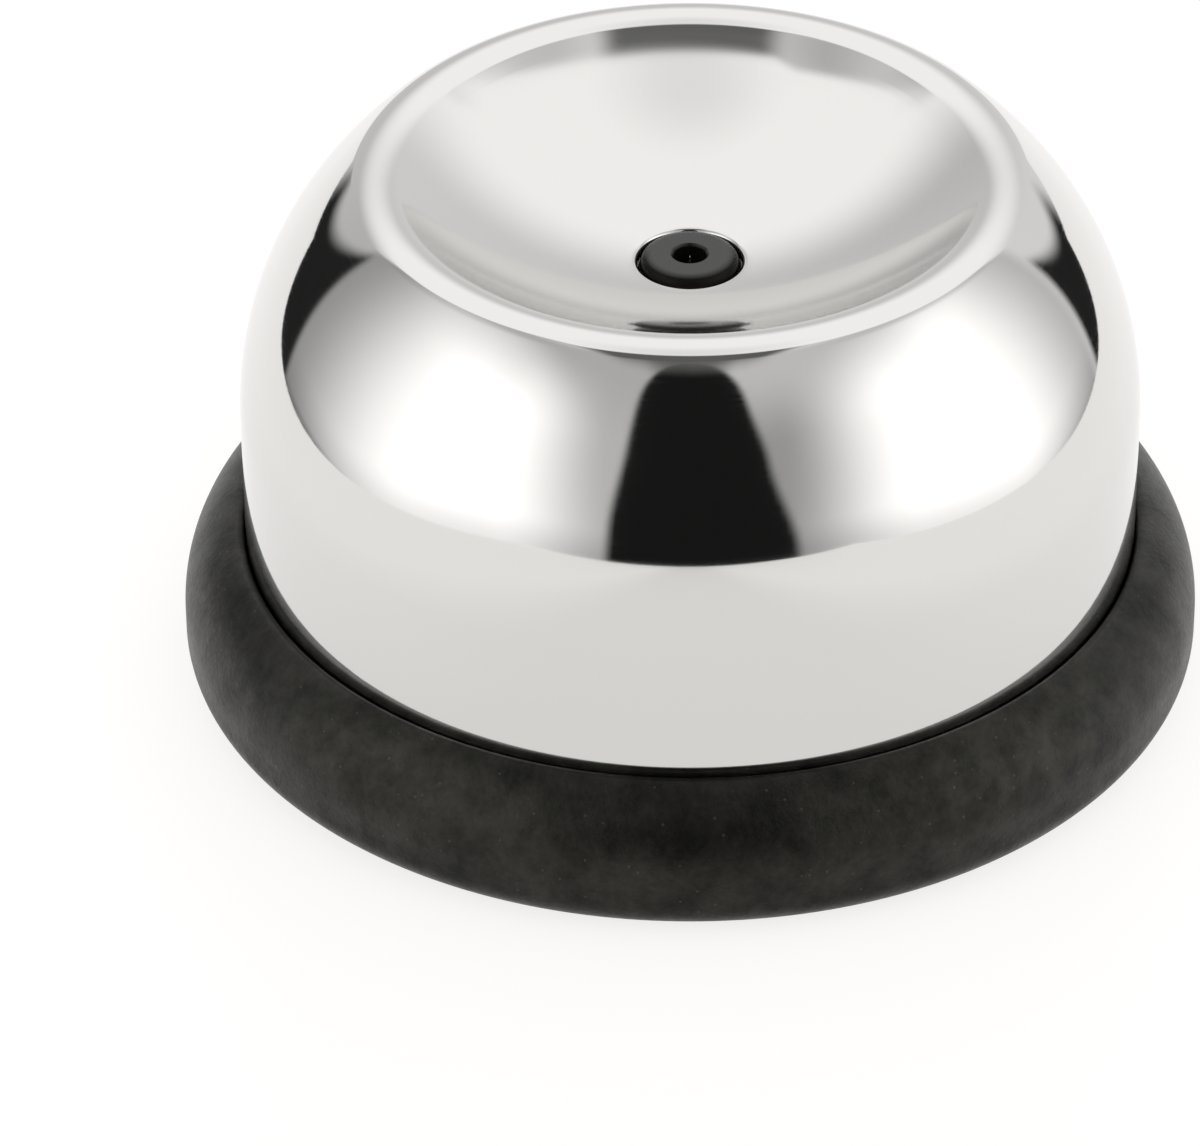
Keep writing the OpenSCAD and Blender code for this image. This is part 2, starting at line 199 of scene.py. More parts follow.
def revolve(outline, count):
    """Surface of revolution: each outline point (r, z), anticlockwise round the section, is carried
    round Z as (r cos t, r sin t, z). An outline that starts and ends on the axis closes there in
    two poles, and any other closes on itself."""
    turn = np.linspace(0, 2 * math.pi, count, endpoint=False)
    poles = outline[0, 0] < TOUCH and outline[-1, 0] < TOUCH
    body = outline[1:-1] if poles else outline
    ring = np.stack([np.cos(turn), np.sin(turn)], axis=1)
    xy = body[:, None, :1] * ring[None]
    z = np.broadcast_to(body[:, None, 1:], xy.shape[:2] + (1,))
    points = np.concatenate([xy, z], axis=2).reshape(-1, 3)
    rows = len(body) - 1 if poles else len(body)
    i = np.arange(rows)[:, None] * count
    up = (np.arange(1, rows + 1) % len(body))[:, None] * count
    j = np.arange(count)[None]
    k = (j + 1) % count
    quads = np.stack([i + j, i + k, up + k, up + j], axis=2).reshape(-1, 4).tolist()
    if poles:
        low, high = len(points), len(points) + 1
        points = np.concatenate([points, [[0, 0, outline[0, 1]], [0, 0, outline[-1, 1]]]])
        last = (len(body) - 1) * count
        near = np.stack([np.full(count, low), k[0], j[0]], axis=1).tolist()
        far = np.stack([np.full(count, high), last + j[0], last + k[0]], axis=1).tolist()
        quads = quads + near + far
    return points, quads


def coil(radius, wire_r, low, high, turns, closed, steps, sides):
    """Wire of radius wire_r along a helix: the centre line's height rises by one wire a turn over
    the closed turns at both ends and evenly between them, and each round of the wire stands in the
    plane through the axis. The two ends close in a pole."""
    t = np.linspace(0, turns, int(turns * steps) + 1)
    dead = closed * 2 * wire_r
    z = np.interp(t, [0, closed, turns - closed, turns], [low, low + dead, high - dead, high])
    a = 2 * math.pi * t
    b = np.linspace(0, 2 * math.pi, sides, endpoint=False)
    r = radius + wire_r * np.cos(b)[None]
    points = np.stack([r * np.cos(a)[:, None], r * np.sin(a)[:, None],
                       z[:, None] + wire_r * np.sin(b)[None]], axis=2).reshape(-1, 3)
    faces = grid_quads(len(t), sides)
    ends = np.stack([radius * np.cos(a[[0, -1]]), radius * np.sin(a[[0, -1]]), z[[0, -1]]], axis=1)
    low_pole, high_pole = len(points), len(points) + 1
    points = np.concatenate([points, ends])
    last = (len(t) - 1) * sides
    j = np.arange(sides)
    k = (j + 1) % sides
    faces += np.stack([np.full(sides, low_pole), j, k], axis=1).tolist()
    faces += np.stack([np.full(sides, high_pole), last + k, last + j], axis=1).tolist()
    return points, faces


def new_object(name, points, faces, material, sharp=40):
    """Mesh object at the origin from points and faces, smooth but for edges over an angle in degrees."""
    mesh = bpy.data.meshes.new(name)
    mesh.from_pydata(points.tolist(), [], faces)
    mesh.validate()
    mesh.shade_smooth()
    mesh.set_sharp_from_angle(angle=math.radians(sharp))
    mesh.materials.append(material)
    obj = bpy.data.objects.new(name, mesh)
    bpy.context.scene.collection.objects.link(obj)
    return obj


def add_node(tree, kind, inputs=None, **settings):
    """One node with its settings, and each input either linked to a socket or set to a value."""
    node = tree.nodes.new(kind)
    for key, value in settings.items():
        setattr(node, key, value)
    for key, value in (inputs or {}).items():
        if isinstance(value, bpy.types.NodeSocket):
            tree.links.new(value, node.inputs[key])
        else:
            node.inputs[key].default_value = value
    return node


def bare_material(name):
    """Node material with an empty tree, and that tree."""
    material = bpy.data.materials.new(name)
    material.use_nodes = True
    material.node_tree.nodes.clear()
    return material, material.node_tree


def new_material(name):
    """Node material, with its tree, its shader and its Object coordinates."""
    material = bpy.data.materials.new(name)
    material.use_nodes = True
    tree = material.node_tree
    shader = tree.nodes["Principled BSDF"]
    place = add_node(tree, "ShaderNodeTexCoord").outputs["Object"]
    return material, tree, shader, place


def polished_stainless():
    """Drawn stainless sheet, buffed on a lathe: a bright neutral mirror with a slight waviness from the
    drawing, and fine buffing lines that run round the axis. The seat is duller than the outside, as far as
    just inside the rim's crest. The lines lie further apart than real ones, so that they show."""
    line_gap, line_h = 0.25 * MM, 0.00012 * MM
    wave_l, wave_h = 9 * MM, 0.012 * MM
    dull_r = sizes().seat_d / 2 + 0.5 * MM
    clear_r = sizes().rim_d / 2 - 0.4 * MM
    material, tree, shader, place = new_material("polished_stainless")
    shader.inputs["Base Color"].default_value = finishes().steel
    shader.inputs["Metallic"].default_value = 1
    flat = add_node(tree, "ShaderNodeVectorMath", {0: place, 1: (1, 1, 0)}, operation="MULTIPLY").outputs[0]
    radius = add_node(tree, "ShaderNodeVectorMath", {0: flat}, operation="LENGTH").outputs["Value"]
    around = add_node(tree, "ShaderNodeVectorMath", {0: flat}, operation="NORMALIZE").outputs[0]
    height = add_node(tree, "ShaderNodeSeparateXYZ", {0: place}).outputs["Z"]
    along = add_node(tree, "ShaderNodeMath", {0: height, 1: radius}, operation="SUBTRACT").outputs[0]
    fine = add_node(tree, "ShaderNodeMath", {0: along, 1: 1 / line_gap}, operation="MULTIPLY").outputs[0]
    side = add_node(tree, "ShaderNodeSeparateXYZ", {0: around})
    lathe = add_node(tree, "ShaderNodeCombineXYZ",
                     {"X": side.outputs["X"], "Y": side.outputs["Y"], "Z": fine}).outputs[0]
    lines = add_node(tree, "ShaderNodeTexNoise", {"Vector": lathe, "Scale": 1, "Detail": 3}).outputs["Fac"]
    buffed = add_node(tree, "ShaderNodeMapRange", {"Value": lines, "From Min": 0.3, "From Max": 0.7,
                                                   "To Min": 0.03, "To Max": 0.07}).outputs[0]
    worn = add_node(tree, "ShaderNodeMapRange", {"Value": radius, "From Min": dull_r, "From Max": clear_r,
                                                 "To Min": 0.04, "To Max": 0}).outputs[0]
    rough = add_node(tree, "ShaderNodeMath", {0: buffed, 1: worn}, operation="ADD").outputs[0]
    tree.links.new(rough, shader.inputs["Roughness"])
    wave = add_node(tree, "ShaderNodeTexNoise",
                    {"Vector": place, "Scale": 1 / wave_l, "Detail": 1}).outputs["Fac"]
    dents = add_node(tree, "ShaderNodeBump", {"Height": wave, "Strength": 1, "Distance": wave_h})
    buff = add_node(tree, "ShaderNodeBump", {"Height": lines, "Strength": 1, "Distance": line_h,
                                             "Normal": dents.outputs[0]})
    tree.links.new(buff.outputs[0], shader.inputs["Normal"])
    return material


def moulded_rubber():
    """Black moulded rubber with a fine eroded mould texture: dull, blotchy in gloss where it is rubbed, a
    little greyer there, with sparse faint specks of dust about 0.15 mm across."""
    blotch_l, speck_gap = 2.5 * MM, 0.5 * MM
    grain_l, grain_h = 0.35 * MM, 0.05 * MM
    cells_without_dust, dust_strength = 0.85, 0.2
    material, tree, shader, place = new_material("moulded_rubber")
    look = finishes()
    cloud = add_node(tree, "ShaderNodeTexNoise", {"Vector": place, "Scale": 1 / blotch_l, "Detail": 6,
                                                  "Roughness": 0.7}).outputs["Fac"]
    grain = add_node(tree, "ShaderNodeTexNoise", {"Vector": place, "Scale": 1 / grain_l, "Detail": 4,
                                                  "Roughness": 0.65}).outputs["Fac"]
    tone = add_node(tree, "ShaderNodeMapRange",
                    {"Value": cloud, "From Min": 0.35, "From Max": 0.7, "To Min": 0.005, "To Max": 0.055})
    specks = add_node(tree, "ShaderNodeTexVoronoi", {"Vector": place, "Scale": 1 / speck_gap})
    dot = add_node(tree, "ShaderNodeMapRange", {"Value": specks.outputs["Distance"], "From Min": 0.1,
                                                "From Max": 0.22, "To Min": 1, "To Max": 0})
    pick = add_node(tree, "ShaderNodeSeparateColor", {0: specks.outputs["Color"]}).outputs[0]
    few = add_node(tree, "ShaderNodeMath", {0: pick, 1: cells_without_dust},
                   operation="GREATER_THAN").outputs[0]
    dust = add_node(tree, "ShaderNodeMath", {0: dot.outputs[0], 1: few}, operation="MULTIPLY").outputs[0]
    faint = add_node(tree, "ShaderNodeMath", {0: dust, 1: dust_strength}, operation="MULTIPLY").outputs[0]
    worn = add_node(tree, "ShaderNodeMath", {0: tone.outputs[0], 1: faint}, operation="ADD").outputs[0]
    colour = add_node(tree, "ShaderNodeMix", {"Factor": worn, 6: look.rubber, 7: look.rubber_dust},
                      data_type="RGBA")
    tree.links.new(colour.outputs[2], shader.inputs["Base Color"])
    rough = add_node(tree, "ShaderNodeMapRange", {"Value": grain, "To Min": 0.26, "To Max": 0.5})
    tree.links.new(rough.outputs[0], shader.inputs["Roughness"])
    gloss = add_node(tree, "ShaderNodeMapRange",
                     {"Value": cloud, "From Min": 0.35, "From Max": 0.65, "To Min": 0.17, "To Max": 0.33})
    tree.links.new(gloss.outputs[0], shader.inputs["Specular IOR Level"])
    bump = add_node(tree, "ShaderNodeBump", {"Height": grain, "Strength": 0.6, "Distance": grain_h})
    tree.links.new(bump.outputs[0], shader.inputs["Normal"])
    shader.inputs["Specular Tint"].default_value = look.rubber_sheen
    shader.inputs["IOR"].default_value = 1.52
    return material


def moulded_plastic(name, colour, grain_mm, relief_mm, dullness):
    """Moulded plastic from a spark-eroded mould: a nearly even colour, paler in soft clouds, with a fine
    grain in relief and in gloss. Its dullness is its lowest and highest roughness."""
    cloud_l = 5 * MM
    gain, lift = 1.35, 0.004
    material, tree, shader, place = new_material(name)
    grain = add_node(tree, "ShaderNodeTexNoise", {"Vector": place, "Scale": 1 / (grain_mm * MM), "Detail": 4,
                                                  "Roughness": 0.6}).outputs["Fac"]
    cloud = add_node(tree, "ShaderNodeTexNoise",
                     {"Vector": place, "Scale": 1 / cloud_l, "Detail": 3}).outputs["Fac"]
    pale = tuple(min(1, c * gain + lift) for c in colour[:3]) + (1,)
    tone = add_node(tree, "ShaderNodeMix", {"Factor": cloud, 6: tuple(colour), 7: pale}, data_type="RGBA")
    tree.links.new(tone.outputs[2], shader.inputs["Base Color"])
    rough = add_node(tree, "ShaderNodeMapRange",
                     {"Value": grain, "To Min": dullness[0], "To Max": dullness[1]})
    tree.links.new(rough.outputs[0], shader.inputs["Roughness"])
    bump = add_node(tree, "ShaderNodeBump", {"Height": grain, "Strength": 0.4, "Distance": relief_mm * MM})
    tree.links.new(bump.outputs[0], shader.inputs["Normal"])
    shader.inputs["IOR"].default_value = 1.5
    return material


def turned_metal(name, colour, line_mm, dullness):
    """Metal with the fine marks of turning, drawing or grinding: rings along Z in gloss and relief, drawn
    out sideways. Its dullness is its lowest and highest roughness."""
    line_h = 0.004 * MM
    material, tree, shader, place = new_material(name)
    shader.inputs["Base Color"].default_value = colour
    shader.inputs["Metallic"].default_value = 1
    drawn = add_node(tree, "ShaderNodeMapping", {"Vector": place, "Scale": (0.15, 0.15, 1)}).outputs[0]
    marks = add_node(tree, "ShaderNodeTexNoise",
                     {"Vector": drawn, "Scale": 1 / (line_mm * MM), "Detail": 3}).outputs["Fac"]
    rough = add_node(tree, "ShaderNodeMapRange",
                     {"Value": marks, "To Min": dullness[0], "To Max": dullness[1]})
    tree.links.new(rough.outputs[0], shader.inputs["Roughness"])
    bump = add_node(tree, "ShaderNodeBump", {"Height": marks, "Strength": 0.3, "Distance": line_h})
    tree.links.new(bump.outputs[0], shader.inputs["Normal"])
    return material


def dome_shape(s):
    """Centres and angles of the dome's tangent arcs: the shoulder touches the skirt and the rim from
    inside, the flare touches the rim and the seat's sphere touches the flare."""
    skirt_r = s.skirt_d / 2
    rim = np.array([s.rim_d / 2, s.body_h - s.rim_r])
    shoulder_x = skirt_r - s.shoulder_r
    shoulder = np.array([shoulder_x,
                         rim[1] - math.sqrt((s.shoulder_r - s.rim_r) ** 2 - (rim[0] - shoulder_x) ** 2)])
    shoulder_a = math.degrees(math.atan2(*(rim - shoulder)[::-1]))
    seat_a = math.degrees(math.asin(s.seat_d / 2 / s.seat_r))
    flare_x = s.seat_d / 2 - s.flare_r * math.sin(math.radians(seat_a))
    flare = np.array([flare_x, rim[1] + math.sqrt((s.flare_r + s.rim_r) ** 2 - (rim[0] - flare_x) ** 2)])
    flare_a = math.degrees(math.atan2(*(flare - rim)[::-1]))
    seat = np.array([0, flare[1] + (s.seat_r - s.flare_r) * math.cos(math.radians(seat_a))])
    hole_r = s.button_d / 2 + s.button_gap
    return dict(skirt_r=skirt_r, rim=rim, shoulder=shoulder, shoulder_a=shoulder_a, seat=seat, seat_a=seat_a,
                flare=flare, flare_a=flare_a, hole_r=hole_r)


def dome_outline(s):
    """Closed section of the sheet: from the hem's inner edge out over skirt, shoulder, rim, flare and
    seat to the hole's rounded edge, which touches the seat, and back at the sheet's thickness."""
    d = dome_shape(s)
    t = s.sheet_t
    hem_r = d["skirt_r"] - s.hem_w
    bend = np.array([d["skirt_r"] - s.hem_bend_r, s.hem_z + s.hem_bend_r])
    edge = s.hole_edge_r
    edge_c = np.array([d["hole_r"] + edge,
                       d["seat"][1] - math.sqrt((s.seat_r + edge) ** 2 - (d["hole_r"] + edge) ** 2)])
    edge_a = math.degrees(math.atan2(d["seat"][1] - edge_c[1], -edge_c[0]))
    hole_low = math.degrees(math.asin(d["hole_r"] / (s.seat_r + t))) - 90
    return chain(
        line([hem_r, s.hem_z], [bend[0], s.hem_z], 4),
        arc(bend, s.hem_bend_r, -90, 0, 12),
        line([d["skirt_r"], bend[1]], [d["skirt_r"], d["shoulder"][1]], 24),
        arc(d["shoulder"], s.shoulder_r, 0, d["shoulder_a"], 72),
        arc(d["rim"], s.rim_r, d["shoulder_a"], d["flare_a"], 40),
        arc(d["flare"], s.flare_r, d["flare_a"] - 180, d["seat_a"] - 90, 36),
        arc(d["seat"], s.seat_r, d["seat_a"] - 90, edge_a - 180, 36),
        arc(edge_c, edge, edge_a, 180, 10),
        arc(d["seat"], s.seat_r + t, hole_low, d["seat_a"] - 90, 12),
        arc(d["flare"], s.flare_r + t, d["seat_a"] - 90, d["flare_a"] - 180, 10),
        arc(d["rim"], s.rim_r - t, d["flare_a"], d["shoulder_a"], 12),
        arc(d["shoulder"], s.shoulder_r - t, d["shoulder_a"], 0, 24),
        line([d["skirt_r"] - t, d["shoulder"][1]], [d["skirt_r"] - t, bend[1]], 4),
        arc(bend, s.hem_bend_r - t, 0, -90, 8),
        line([bend[0], s.hem_z + t], [hem_r, s.hem_z + t], 4),
        [[hem_r, s.hem_z + t]])


class EGG_PIERCER_OT_dome(bpy.types.Operator):
    """Makes the polished steel dome"""
    bl_idname = "egg_piercer.dome"
    bl_label = "Polished dome"

    def execute(self, context):
        points, faces = revolve(dome_outline(sizes()), count=288)
        dome = new_object("polished_dome", points, faces, polished_stainless())
        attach(dome, "housing")
        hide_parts("dome_shell")
        return {"FINISHED"}


def foot_outline(s):
    """Closed section of the rubber ring: flat underside, rounded lower edge, upright side, the crown's
    arc from the side to the inner edge, the bore on the skirt, and the lip under the base plate."""
    bore = s.skirt_d / 2 + s.fit
    outer = bore + s.foot_w
    lip = s.skirt_d / 2 - s.foot_lip_w
    crown_h = s.foot_h - s.foot_side_h
    crown_r = (s.foot_w ** 2 + crown_h ** 2) / (2 * s.foot_w)
    crown = np.array([outer - crown_r, s.foot_side_h])
    rim_x = bore + s.foot_rim_r
    rim = np.array([rim_x, crown[1] + math.sqrt((crown_r - s.foot_rim_r) ** 2 - (rim_x - crown[0]) ** 2)])
    rim_a = math.degrees(math.atan2(*(rim - crown)[::-1]))
    return chain(
        line([lip, 0], [outer - s.foot_edge_r, 0], 8),
        arc([outer - s.foot_edge_r, s.foot_edge_r], s.foot_edge_r, -90, 0, 14),
        line([outer, s.foot_edge_r], [outer, s.foot_side_h], 3),
        arc(crown, crown_r, 0, rim_a, 32),
        arc(rim, s.foot_rim_r, rim_a, 180, 10),
        line([bore, rim[1]], [bore, s.foot_lip_t], 6),
        line([bore, s.foot_lip_t], [lip, s.foot_lip_t], 6),
        line([lip, s.foot_lip_t], [lip, 0], 3))


class EGG_PIERCER_OT_foot(bpy.types.Operator):
    """Makes the rubber foot ring"""
    bl_idname = "egg_piercer.foot"
    bl_label = "Rubber foot ring"

    def execute(self, context):
        points, faces = revolve(foot_outline(sizes()), count=256)
        foot = new_object("rubber_foot", points, faces, moulded_rubber())
        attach(foot, "housing")
        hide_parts("foot_ring")
        return {"FINISHED"}


def button_outline(s):
    """Closed section of the plunger: the spigot, the flange, the button's side, its rounded edge, the
    chamfer round the needle's hole and the hole itself."""
    low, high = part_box("plunger")
    bore = s.needle_hole_d / 2
    bore_top = bore + s.needle_hole_chamfer
    button = s.button_d / 2
    flange = high[0]
    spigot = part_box("return_spring")[1][0] - s.wire_d - s.spring_gap
    spigot_z, top = low[2], high[2]
    flange_z = spigot_z + s.spigot_l
    button_z = flange_z + s.flange_t
    edge = s.button_edge_r
    return chain(
        line([bore, spigot_z], [spigot, spigot_z], 4),
        line([spigot, spigot_z], [spigot, flange_z], 4),
        line([spigot, flange_z], [flange, flange_z], 3),
        line([flange, flange_z], [flange, button_z], 3),
        line([flange, button_z], [button, button_z], 3),
        line([button, button_z], [button, top - edge], 8),
        arc([button - edge, top - edge], edge, 0, 90, 14),
        line([button - edge, top], [bore_top, top], 6),
        line([bore_top, top], [bore, top - s.needle_hole_chamfer], 3),
        line([bore, top - s.needle_hole_chamfer], [bore, spigot_z], 12))


def rubbed_acetal(top):
    """Black acetal of the button: satin on the flat top, where eggs rub it, and dull on its edge and side."""
    rubbed_t = 0.16 * MM
    material = moulded_plastic("moulded_satin_acetal", finishes().button, grain_mm=0.18, relief_mm=0.006,
                               dullness=(0.2, 0.36))
    tree = material.node_tree
    place = add_node(tree, "ShaderNodeTexCoord").outputs["Object"]
    height = add_node(tree, "ShaderNodeSeparateXYZ", {0: place}).outputs["Z"]
    rubbed = add_node(tree, "ShaderNodeMapRange", {"Value": height, "From Min": top - rubbed_t,
                                                   "From Max": top, "To Min": 0.06, "To Max": 0.57})
    tree.links.new(rubbed.outputs[0], tree.nodes["Principled BSDF"].inputs["Specular IOR Level"])
    return material


class EGG_PIERCER_OT_button(bpy.types.Operator):
    """Makes the sprung plunger with its button"""
    bl_idname = "egg_piercer.button"
    bl_label = "Sprung button"

    def execute(self, context):
        points, faces = revolve(button_outline(sizes()), count=128)
        acetal = rubbed_acetal(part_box("plunger")[1][2])
        button = new_object("sprung_button", points, faces, acetal, sharp=30)
        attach(button, "plunger")
        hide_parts("plunger")
        return {"FINISHED"}


def needle_outline(s):
    """Section of the needle from the axis to the axis: chamfered end, shank, and a ground cone whose last
    ring lies just under its tip."""
    low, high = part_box("needle")
    end, tip = low[2], high[2]
    r = s.needle_d / 2
    chamfer = 0.2 * r
    neck = tip - s.needle_point_l
    last = 0.03
    return chain(
        [[0, end]],
        line([r - chamfer, end], [r, end + chamfer], 2),
        line([r, end + chamfer], [r, neck], 24),
        line([r, neck], [last * r, tip - last * s.needle_point_l], 24),
        [[0, tip]])


def hub_outline(s):
    """Closed section of the hub: flat end, chamfer, turned body, tapered nose and the needle's bore."""
    low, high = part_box("needle_hub")
    end, top = low[2], high[2]
    r = s.hub_d / 2
    bore = s.needle_d / 2 + s.fit
    nose = s.hub_nose_d / 2
    return chain(
        line([bore, end], [r - s.hub_chamfer, end], 3),
        line([r - s.hub_chamfer, end], [r, end + s.hub_chamfer], 2),
        line([r, end + s.hub_chamfer], [r, top - s.hub_nose_l], 16),
        line([r, top - s.hub_nose_l], [nose, top], 6),
        line([nose, top], [bore, top], 3),
        line([bore, top], [bore, end], 12))


class EGG_PIERCER_OT_needle(bpy.types.Operator):
    """Makes the needle and its brass hub"""
    bl_idname = "egg_piercer.needle"
    bl_label = "Needle and hub"

    def execute(self, context):
        s, look = sizes(), finishes()
        points, faces = revolve(needle_outline(s), count=48)
        ground = turned_metal("ground_steel", look.needle, line_mm=0.12, dullness=(0.26, 0.42))
        needle = new_object("needle_pin", points, faces, ground)
        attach(needle, "housing")
        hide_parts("needle")
        points, faces = revolve(hub_outline(s), count=64)
        brass = turned_metal("turned_brass", look.brass, line_mm=0.2, dullness=(0.2, 0.38))
        hub = new_object("brass_hub", points, faces, brass, sharp=20)
        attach(hub, "housing")
        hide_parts("needle_hub")
        return {"FINISHED"}


class EGG_PIERCER_OT_spring(bpy.types.Operator):
    """Makes the return spring as a still coil the size of its solid; this coil doesn't shorten as the button
    goes down
    """
    bl_idname = "egg_piercer.spring"
    bl_label = "Return spring"

    def execute(self, context):
        s = sizes()
        low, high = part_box("return_spring")
        wire_r = s.wire_d / 2
        points, faces = coil(high[0] - wire_r, wire_r, low[2] + wire_r, high[2] - wire_r,
                             turns=s.spring_turns, closed=1, steps=48, sides=14)
        wire = turned_metal("drawn_spring_wire", finishes().wire, line_mm=0.1, dullness=(0.24, 0.42))
        spring = new_object("coil_spring", points, faces, wire)
        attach(spring, "housing")
        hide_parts("return_spring")
        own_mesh(spring)
        return {"FINISHED"}


class EGG_PIERCER_OT_base(bpy.types.Operator):
    """Gives the base plate, the guide turret and the screws their finishes"""
    bl_idname = "egg_piercer.base"
    bl_label = "Base, turret and screws"

    def execute(self, context):
        look = finishes()
        coats = {
            "base_plate": moulded_plastic("moulded_abs", look.base, grain_mm=0.3, relief_mm=0.02,
                                          dullness=(0.42, 0.62)),
            "guide_turret": moulded_plastic("moulded_acetal", look.acetal, grain_mm=0.4, relief_mm=0.01,
                                            dullness=(0.34, 0.5)),
            "base_screws": turned_metal("zinc_plated_steel", look.zinc, line_mm=0.15, dullness=(0.22, 0.4)),
        }
        for node, coat in coats.items():
            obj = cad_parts[node]
            if not obj.material_slots:
                obj.data.materials.append(coat)
            for held in obj.material_slots:
                held.material = coat
        return {"FINISHED"}


def rise(value, start, end):
    """Smooth step from 0 at start to 1 at end."""
    x = np.clip((value - start) / (end - start), 0, 1)
    return x * x * (3 - 2 * x)


def mix(low, high, share):
    """Value between low and high."""
    return low + (high - low) * share


class TentHalf(NamedTuple):
    """What differs between the tent's two halves, with bearings and heights in degrees."""
    near: float  # brightness of the side panel's near end
    loss: float  # brightness that the panel loses towards its far end
    foot_line: float  # share of its brightness that the dark line along its foot takes
    cloth: float  # brightness of the cloth overhead in front
    cloth_gain: float  # brightness that the cloth gains far out
    brightens: tuple  # bearings between which the panel brightens
    fades: tuple  # bearings between which the panel fades
    gap: tuple  # inner and outer bearing of the gap behind the panel
    gap_tops: tuple  # lowest and highest height of the gap's top
    step_back: float  # how far the edge of the white overhead steps back, as a share of its height


LEFT = TentHalf(near=0.68, loss=1.33, foot_line=0.6, cloth=0.6, cloth_gain=0.2, brightens=(15, 47),
                fades=(66, 122), gap=(120.5, 143), gap_tops=(4, 22), step_back=0.05)
RIGHT = TentHalf(near=0.45, loss=1.1, foot_line=0.2, cloth=0.74, cloth_gain=0.05, brightens=(18.5, 58.5),
                 fades=(84, 124), gap=(123, 139), gap_tops=(3, 15), step_back=0)
PANEL_LIGHT, WHITE_LIGHT = 1.75, 1.3
FLAP_LIGHT, GAP_LIGHT, OPENING_LIGHT = 0.15, 0.02, 0.012


def panel_light(half, side, el):
    """Brightness of a side panel: it rises from the near end, which leans outwards with height, falls to the
    far end, and is lower at the foot, which drops towards the far end and has a dark line along it there."""
    lean = 0.2 * np.clip(el, 0, 60)
    rising = mix(half.near, PANEL_LIGHT, rise(side - lean, *half.brightens))
    along = rising - half.loss * rise(side, *half.fades)
    foot = -1 - 12 * rise(side, 30, 100)
    shaded = mix(0.72, 1, rise(el, foot, foot + 12))
    line_share = half.foot_line * rise(side, 74, 110) * (1 - rise(el, -11, -8.5))
    return along * shaded * (1 - line_share)


def cloth_light(half, across, el):
    """Brightness of the cloth overhead in front: grey, paler high up and far out, with a dark flap in the
    middle whose lower edge is lowest at its own middle."""
    grey = half.cloth + 0.14 * rise(el, 62, 70)
    flap_low = mix(46, 58, rise(across, 0.04, 0.2))
    flap = (1 - rise(across, 0.26, 0.37)) * rise(el, flap_low, 66)
    return mix(grey, FLAP_LIGHT, flap) + half.cloth_gain * rise(across, 0.5, 0.8)


def back_light(az, el):
    """Brightness of the back: white overhead and a little less at the very top, and pale grey low down, where
    it rises from the left to the right as the sine of the bearing."""
    low = 0.79 + 0.18 * np.sin(np.radians(az))
    return mix(low, WHITE_LIGHT, rise(el, 20, 44)) * mix(1, 0.84, rise(el, 68, 88))


def back_share(half, side, across, behind, el):
    """Share of the back: low down it starts at the panels' far ends, and overhead at a curved edge, which
    lies further back by the square of the way across."""
    past_edge = behind - 0.7 * across ** 2 - half.step_back * rise(across, 0.3, 0.4)
    return mix(rise(side, 119, 124), rise(past_edge, -0.19, -0.13), rise(el, 30, 48))


def gap_share(half, side, el):
    """Share of the dark gap behind a panel: from the floor up to a top that falls in a hollow curve from its
    highest at the gap's inner bearing to its lowest at the outer one."""
    inner, outer = half.gap
    top = mix(*half.gap_tops, np.clip((outer - side) / (outer - inner), 0, 1) ** 2)
    between = rise(side, inner - 1.5, inner + 1) * (1 - rise(side, outer, outer + 8))
    return between * (1 - rise(el, top - 1, top + 4))


def opening_share(az, el):
    """Share of the dark opening in front: between two bearings that draw together with height, and under a
    top at which they close in an arch."""
    arch = np.sqrt(1 - np.clip((el - 43) / 20, 0, 1) ** 4)
    start = (1.5 * rise(el, 10, 36) - 19.5) * arch
    end = (25.6 - 4 * rise(el, 2, 30) - 2 * rise(el, 30, 50)) * arch
    between = rise(az, start - 1.5, start + 1.5) * (1 - rise(az, end - 1.75, end + 1.75))
    return between * (1 - rise(el, 58, 65))


def half_light(half, az, el):
    """Brightness of the tent with one half's values. The cloth overhead and the curved edge are laid out on
    a level plane over the dome, by the ways across and behind it in shares of the plane's height."""
    a, e = np.radians(az), np.radians(el)
    side = np.abs(az)
    tall = np.maximum(np.sin(e), 0.01)
    across = np.abs(np.cos(e) * np.sin(a)) / tall
    behind = -np.cos(e) * np.cos(a) / tall
    front = mix(panel_light(half, side, el), cloth_light(half, across, el), rise(el, 34, 58))
    light = mix(front, back_light(az, el), back_share(half, side, across, behind, el))
    return mix(light, GAP_LIGHT, gap_share(half, side, el))


def tent_light(az, el):
    """Brightness of the tent by bearing, 0 towards the camera and positive to its right, and by height, both
    in degrees. Two leaning side panels are brightest, the back and the top are white, the cloth overhead in
    front is grey, and an arched opening in front and a gap behind each side panel are dark."""
    light = np.where(az < 0, half_light(LEFT, az, el), half_light(RIGHT, az, el))
    return mix(light, OPENING_LIGHT, opening_share(az, el))


def tent_cloth():
    """Lit cloth, as bright as its attribute level says. It is all round, so it isn't sampled as a lamp."""
    material, tree = bare_material("tent_cloth")
    level = add_node(tree, "ShaderNodeAttribute", attribute_name="level").outputs["Fac"]
    glow = add_node(tree, "ShaderNodeEmission", {"Strength": level}).outputs[0]
    add_node(tree, "ShaderNodeOutputMaterial", {"Surface": glow})
    material.cycles.emission_sampling = "NONE"
    return material


